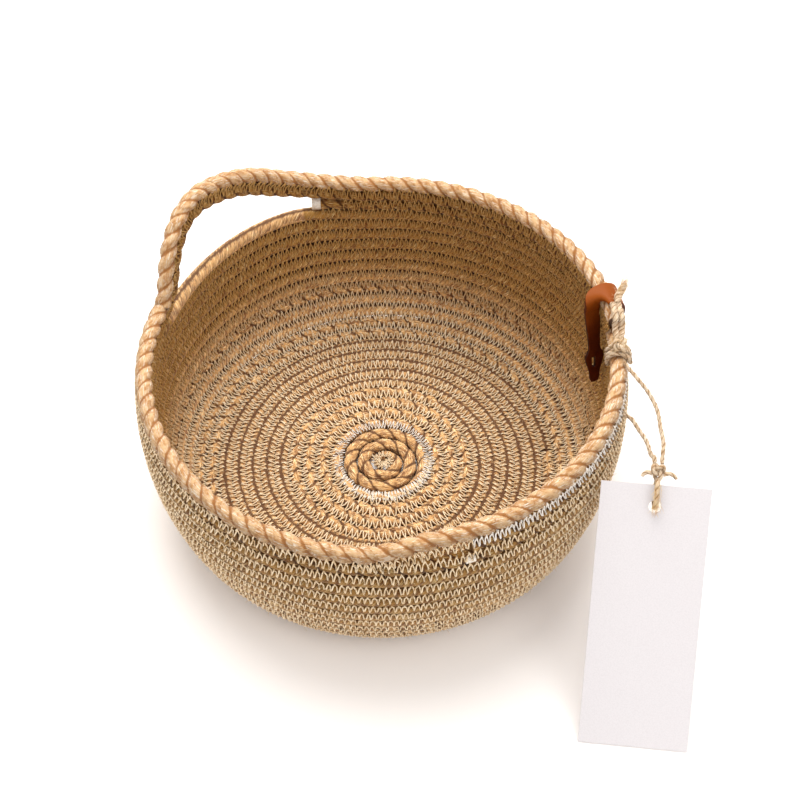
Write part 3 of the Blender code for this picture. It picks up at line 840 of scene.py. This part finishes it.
def leather_sheet(name, columns, rows, point, slit=(0, 0, 0, 0)):
    """A sheet of leather through point(u, v), with its thickness and edges rounded by wear. A
    slit from (u, v) to (u, v) is cut out, and its sides show the pale raw hide, made near-white
    as a painted highlight."""
    bm = bmesh.new()
    grid = [[bm.verts.new(point(u, v)) for u in columns] for v in rows]
    for i in range(len(rows) - 1):
        for k in range(len(columns) - 1):
            u, v = (columns[k] + columns[k + 1]) / 2, (rows[i] + rows[i + 1]) / 2
            if not (slit[0] < u < slit[2] and slit[1] < v < slit[3]):
                near, far = grid[i], grid[i + 1]
                face = bm.faces.new((near[k], near[k + 1], far[k + 1], far[k]))
                beside = slit[0] - 0.3 < u < slit[2] + 0.2 and slit[1] < v < slit[3]
                face.material_index = 2 if beside else 0
    mesh = bpy.data.meshes.new(name)
    bm.to_mesh(mesh)
    bm.free()
    made = place_mesh(name, mesh, chestnut)
    for lining in (burnished, chestnut, raw_hide_and_highlight):
        mesh.materials.append(lining)
    body = made.modifiers.new("thickness", "SOLIDIFY")
    body.thickness = LEATHER
    body.offset = 0
    body.material_offset_rim = 1
    wear_and_painted_light = made.modifiers.new("worn_edge", "BEVEL")
    wear_and_painted_light.width = EDGE_WEAR
    wear_and_painted_light.segments = 2
    wear_and_painted_light.limit_method = "ANGLE"
    wear_and_painted_light.angle_limit = radians(50)
    return made


chestnut = waxed_leather("chestnut_leather", "#4C1705", "#8C450E", 0.45)
burnished = waxed_leather("burnished_edge", "#2E120C", "#5A2812", 0.5)
# Near-white: the pale raw hide of the slit's cut sides, made near-white as a painted highlight.
raw_hide_and_highlight = waxed_leather("raw_hide_and_highlight", "#F4E6D8", "#FBF3EA", 0.7)
turn = radians(TAB_ANGLE)
tab_out = Vector((cos(turn), sin(turn), 0))
tab_along = Vector((-sin(turn), cos(turn), 0))
tab_centre = on_wall(*rim_line(turns_to(TAB_ANGLE)))
tongue_across = -tab_out * cos(TONGUE_TWIST) + tab_along * sin(TONGUE_TWIST)
tongue_down = Matrix.Rotation(TONGUE_LEAN, 3, tongue_across) @ Vector((0, 0, -1))
tongue_normal = tongue_across.cross(tongue_down)
SADDLE_LINE = (
    (0.00, 4.6, -6.0),
    (0.14, 4.6, -2.4),
    (0.28, 4.0, 1.8),
    (0.40, 2.3, 4.0),
    (0.50, 0.0, 4.8),
    (0.62, -2.8, 4.6),
    (0.75, -5.2, 3.0),
    (0.88, -6.3, 0.4),
    (1.00, -6.6, -2.6),
)
SADDLE_HALF = (
    (0.0, 3.4),
    (0.1, 4.4),
    (0.3, 5.2),
    (0.5, 5.4),
    (0.66, 5.0),
    (0.8, 4.2),
    (0.92, 3.5),
    (1.0, 3.3),
)
TONGUE_HALF = (
    (0.0, 3.2),
    (0.2, 3.1),
    (0.43, 2.6),
    (0.56, 2.8),
    (0.64, 4.2),
    (0.70, 3.9),
    (0.87, 2.3),
    (0.97, 1.9),
    (1.0, 1.3),
)


def on_saddle(u, v):
    """A point of the folded strap, which turns as it goes down inside the rim and lies on
    the rim rope wherever it would sink into it."""
    share = ease((v - 0.5) / 0.42)
    wide = (tab_along * (1 - share) + tongue_across * share).normalized()
    off = tab_out * through([(p[0], p[1]) for p in SADDLE_LINE], v)
    off += Vector((0, 0, through([(p[0], p[2]) for p in SADDLE_LINE], v)))
    off += wide * u * through(SADDLE_HALF, v)
    across = Vector((off.dot(tab_out), off.z))
    pushed = across * max(RIM_WRAPPED / across.length, 1.0) - across
    off += tab_out * pushed.x + Vector((0, 0, pushed.y))
    return tab_centre + off * MM


def on_tongue(u, v):
    """A point of the tongue, a little bowed along it and cupped across it."""
    bow = 0.9 * sin(pi * v) - 0.35 * u * u - 0.25 * (1 - ease(v / 0.05))
    spot = tongue_hinge + tongue_down * (v * TONGUE_LENGTH - TONGUE_LIFT)
    spot += tongue_across * u * through(TONGUE_HALF, v) * MM
    return spot + tongue_normal * bow * MM


tongue_hinge = tab_centre - tab_out * 6.38 * MM - Vector((0, 0, 4.77 * MM))
saddle = leather_sheet(
    "leather_fold", np.linspace(-1, 1, 17), np.linspace(0, 1, 61), on_saddle
)
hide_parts("leather_saddle")
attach(saddle, "basket")
tongue = leather_sheet(
    "leather_strap",
    (-1, -0.8, -0.5, -0.25, 0.0, 0.38, 0.6, 0.8, 1),
    np.linspace(0, 1, 51),
    on_tongue,
    TONGUE_SLIT,
)
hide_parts("leather_tongue")
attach(tongue, "tongue")

# Twine wraps, knot and lashing on the rim.
# The same two-ply twine goes three times over the rim, is tied in a small hard knot and
# runs on in two strands to the leather, where its cut end frays. Each is a twisted mesh.
WRAP_ANGLE = 43.0
WRAP_REACH = RIM_ROPE / 2 + PIECE_GAP + TWINE / 2


def rim_point(angle, out, up):
    """A point near the rim, out from and up from its middle line, in millimetres."""
    return on_wall(angle, rim_line(turns_to(angle))[1] + up * MM, out * MM)


def tied_twine(name, node, body, path, taper=None, radius=TWINE / 2):
    """A length of twine in place of a plain CAD solid."""
    piece = laid_rope(name, path, radius, TWINE_PLIES, TWINE_LAY, twine_jute, 0.2, taper)
    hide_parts(node)
    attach(piece, body)


def knotted(centre, ways, half, steps=48):
    """The route of an overhand knot drawn tight: a trefoil inside these half sizes."""
    route = []
    for i in range(steps + 1):
        t = 2 * pi * i / steps
        spot = (
            (sin(t) + 2 * sin(2 * t)) / 3,
            (cos(t) - 2 * cos(2 * t)) / 3,
            -sin(3 * t),
        )
        route.append(centre + sum((w * h * c for w, h, c in zip(ways, half, spot)), Vector()))
    return route


wrap_step = degrees((TWINE + PIECE_GAP) / section(WALL_TOP)[0])
around = WRAP_REACH / MM
for k in range(3):
    at = WRAP_ANGLE + (k - 1) * wrap_step
    lean = (-0.35, 0.3, -0.2)[k]
    route = [rim_point(at - lean, around, -1.6)]
    route += [
        rim_point(at + lean * cos(radians(a)), around * cos(radians(a)), around * sin(radians(a)))
        for a in range(0, 181, 10)
    ]
    route.append(rim_point(at - lean, -around, -1.6))
    tied_twine(f"wrap_twine_{k + 1}", f"twine_wrap_{k + 1}", "basket", route)
turn = radians(WRAP_ANGLE)
knot_ways = (
    Vector((-sin(turn), cos(turn), 0)),
    Vector((cos(turn), sin(turn), 0)),
    Vector((0, 0, 1)),
)
knot_half = (3.0 * MM, 2.3 * MM, 1.0 * MM)
rim_knot = knotted(rim_point(WRAP_ANGLE, 0, around + 2.6), knot_ways, knot_half)
tied_twine("knot_twine", "twine_knot", "basket", rim_knot, radius=0.95 * MM)
top_row = rim_line(turns_to(RIM_END_ANGLE + 1))[1] + WRAP_REACH
for name, side in (("inner", -1.0), ("outer", 1.0)):
    over_step = on_wall(RIM_END_ANGLE - 1.2, top_row + 1.0 * MM, side * 1.15 * MM)
    route = [
        rim_point(WRAP_ANGLE + 3.0, side * 0.8, around + 0.6),
        rim_point(WRAP_ANGLE + 5.0, side * 1.3, around + 3.0),
        over_step,
        rim_point(RIM_END_ANGLE + 1.0, side * 1.1, around + 1.0),
        rim_point(RIM_END_ANGLE + 3.0, side * 0.9, around + 1.6),
    ]
    path = smooth_route(route, 0.8 * MM)
    tied_twine(f"lashing_{name}", f"lashing_strand_{name}", "basket", path, radius=1.4 * MM)
over = (RIM_ROPE / 2 + LEATHER + TWINE / 2) / MM + 0.7
tail = [
    rim_point(TAB_ANGLE - 4.4, 0.6, over + 0.3),
    rim_point(TAB_ANGLE - 2.8, 1.4, over + 0.7),
    rim_point(TAB_ANGLE - 1.8, 2.8, over + 1.8),
    rim_point(TAB_ANGLE - 1.3, 3.8, over + 3.0),
    rim_point(TAB_ANGLE - 0.9, 4.5, over + 4.2),
]
tail_path = smooth_route(tail, 0.8 * MM)
thinner = np.interp(np.linspace(0, 1, len(tail_path)), (0, 0.5, 1), (0.8, 1.15, 0.9))
tied_twine("tail_twine", "twine_tail", "basket", tail_path, list(thinner), 1.5 * MM)

# Knot and loop above the card.
# The twine's two legs are tied in a small knot, with two short frayed ends, and a loop of
# the same twine passes through the card's hole. The loop and the card swing together.
TAG_HOLE_MARGIN = 8.0 * MM
tight = knotted(tag_knot, (tag_across, tag_up, tag_front), (2.2 * MM, 2.9 * MM, 1.0 * MM))
tied_twine("tag_knot_twine", "tag_knot", "tag_knot", tight, radius=0.85 * MM)
for name, side, long in (("left", -1, 3.6 * MM), ("right", 1, 4.8 * MM)):
    root = tag_knot + tag_across * side * 2.0 * MM - tag_up * 0.9 * MM
    route = [
        root,
        root + tag_across * side * 0.5 * long + tag_up * 0.3 * MM,
        root + tag_across * side * 0.85 * long - tag_up * 0.5 * MM,
        root + tag_across * side * long - tag_up * 1.4 * MM,
    ]
    path = smooth_route(route, 0.6 * MM)
    loosened = np.linspace(1.0, 0.7, len(path))
    tied_twine(f"end_twine_{name}", f"knot_end_{name}", "tag_knot", path, list(loosened))
hole = tag_foot + tag_up * (TAG_LENGTH - TAG_HOLE_MARGIN)
side = TAG_THICKNESS / 2 + TWINE / 2 + PIECE_GAP
top = tag_knot - tag_up * 3.2 * MM
half_loop = [(1.1, 0.0), (1.9, -1.4), (side / MM + 0.7, -6.4), (side / MM + 0.3, -9.2)]
route = [top + tag_front * out * MM + tag_up * up * MM for out, up in half_loop]
route.append(hole - tag_up * 0.2 * MM)
route += [top - tag_front * out * MM + tag_up * up * MM for out, up in half_loop[::-1]]
path = smooth_route(route, 0.6 * MM)
tied_twine("loop_twine", "tag_loop", "tag", path, radius=1.05 * MM)

# Stray fibres.
# Jute sheds fine hairs: short curved fibres stand off the ropes and the twine, and the
# twine's cut end and its loop fray. Each is a tapered tube, 0.1 mm thick.
HAIR_POINTS = 6
fuzz = np.random.RandomState(11)
hair_jute = pale_fibre("hair_jute", "#EBD3A6", "#C89C62", 2.0 * MM)


def stray_fibres(name, starts, long, body, spread=0.6):
    """Fine hairs from (point, way, start way) triples, bent as they go, as one mesh."""
    line = bpy.data.curves.new(name, "CURVE")
    line.dimensions = "3D"
    line.bevel_depth = 0.055 * MM
    line.bevel_resolution = 0
    for point, away, along in starts:
        length = long * fuzz.uniform(0.4, 1.0)
        heading = (away * fuzz.uniform(0.15, 0.8) + along * fuzz.uniform(-1, 1)).normalized()
        bend = Vector(fuzz.uniform(-1, 1, 3)) * spread
        spot = Vector(point)
        spline = line.splines.new("POLY")
        spline.points.add(HAIR_POINTS - 1)
        for k in range(HAIR_POINTS):
            spline.points[k].co = (*spot, 1)
            spline.points[k].radius = 1 - 0.12 * k
            heading = (heading + bend * 0.3).normalized()
            spot = spot + heading * length / (HAIR_POINTS - 1)
            spot.z = max(spot.z, 0.2 * MM)
    made = place_mesh(name, swept_mesh(name, line), hair_jute)
    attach(made, body)


def off_surface(rope, route, count):
    """Random places on a rope's own surface, with the ways off it and along it."""
    found = []
    points = rope.data.vertices
    while len(found) < count:
        i = fuzz.randint(2, len(route) - 2)
        vert = points[ROPE_SIDES * i + fuzz.randint(ROPE_SIDES)]
        away = (vert.co - route[i]).normalized()
        along = (route[i + 1] - route[i - 1]).normalized()
        if rope.data.attributes["clear"].data[vert.index].value > 0.7:
            found.append((vert.co - away * 0.1 * MM, away, along))
    return found


hair_counts = {"base_rope": 1200, "corner_rope": 500, "wall_rope": 1100, "rim": 450}
hair_counts |= {"second_row": 110, "filler": 60}
rope_hairs = [
    start
    for rope, route in ropes
    for start in off_surface(rope, route, hair_counts[rope.name])
]
stray_fibres("rope_fibres", rope_hairs, 3.2 * MM, "basket")


def off_path(path, radius, count, low=0.0):
    """Random places on a twine path's surface."""
    found = []
    for _ in range(count):
        i = fuzz.randint(max(1, int(low * len(path))), len(path) - 1)
        along = (path[i + 1] - path[i - 1]).normalized()
        away = Vector(fuzz.uniform(-1, 1, 3))
        away = (away - along * away.dot(along)).normalized()
        found.append((path[i] + away * radius * 0.8, away, along))
    return found


tied = off_path(rim_knot, 0.9 * MM, 160) + off_path(tail_path, 0.8 * MM, 70, 0.3)
tied += off_path(legs[0][1], 1.0 * MM, 30) + off_path(legs[1][1], 1.0 * MM, 30)
stray_fibres("twine_fibres", tied, 3.0 * MM, "basket")
fray = []
tip = (tail_path[-1] - tail_path[-4]).normalized()
for _ in range(150):
    spot = tail_path[-fuzz.randint(2, 9)] + Vector(fuzz.uniform(-1, 1, 3)) * MM
    fray.append((spot, tip * 3, Vector(fuzz.uniform(-0.4, 0.4, 3))))
stray_fibres("tail_fray", fray, 5.5 * MM, "basket", 0.35)
small = off_path(tight, 0.8 * MM, 26)
stray_fibres("tag_knot_fibres", small, 2.6 * MM, "tag_knot")
fray = []
for _ in range(110):
    spot = path[fuzz.randint(1, len(path) // 2)] + tag_front * fuzz.uniform(0.3, 1.2) * MM
    spot += tag_across * fuzz.uniform(-1.2, 1.2) * MM
    fray.append((spot, -tag_up * 2.5, tag_across * 0.5))
stray_fibres("loop_fibres", fray, 4.5 * MM, "tag", 0.3)

for (leg, path), leg_name in zip(legs, ("upper", "lower")):
    length = sum((b - a).length for a, b in zip(path, path[1:]))

# The table and the light.
# A white table under a high, wide, warm-white studio panel, with two weak panels at the
# sides and pale fill all round, so that the basket's shadow is soft and short.
bm = bmesh.new()
bmesh.ops.create_grid(bm, x_segments=1, y_segments=1, size=3.0)
table_mesh = bpy.data.meshes.new("table")
bm.to_mesh(table_mesh)
bm.free()
white_table = bpy.data.materials.new("white_table")
white_table.use_nodes = True
shader = white_table.node_tree.nodes["Principled BSDF"]
shader.inputs["Base Color"].default_value = linear("#FBF9F8")
shader.inputs["Roughness"].default_value = 0.9
shader.inputs["Specular IOR Level"].default_value = 0.1
table = place_mesh("table", table_mesh, white_table, smooth=False)
table.location.z = -0.0002

world = bpy.data.worlds.new("studio")
world.use_nodes = True
bpy.context.scene.world = world
tree = world.node_tree
sky = tree.nodes["Background"]
sky.inputs["Color"].default_value = linear("#FFFCFA")
rays = add_node(tree, "LightPath")
seen = add_node(
    tree,
    "Math",
    links={0: rays.outputs["Is Camera Ray"], 1: rays.outputs["Is Glossy Ray"]},
    operation="MAXIMUM",
)
seen = add_node(
    tree,
    "Math",
    links={0: seen.outputs[0], 1: rays.outputs["Is Transmission Ray"]},
    operation="MAXIMUM",
)
level = add_node(
    tree, "MapRange", {"To Min": 0.9, "To Max": 1.0}, {"Value": seen.outputs[0]}
)
tree.links.new(level.outputs[0], sky.inputs["Strength"])

for name, place, aim, size, power in (
    ("panel", (-0.42, 0.28, 1.2), (0, 0, 0), 1.0, 16.4),
    ("fill", (0.9, 0.1, 1.0), (0, 0, 0.03), 0.8, 3.2),
    ("side_fill", (-0.8, -0.3, 0.45), (-0.05, 0, 0.05), 0.6, 0.6),
):
    lamp = bpy.data.lights.new(name, "AREA")
    lamp.shape = "DISK"
    lamp.size = size
    lamp.energy = power
    lamp.color = (1.0, 0.97, 0.93)
    holder = bpy.data.objects.new(name, lamp)
    holder.location = place
    way = Vector(aim) - Vector(place)
    holder.rotation_euler = way.to_track_quat("-Z", "Y").to_euler()
    bpy.context.scene.collection.objects.link(holder)

bpy.context.scene.view_settings.view_transform = "Standard"
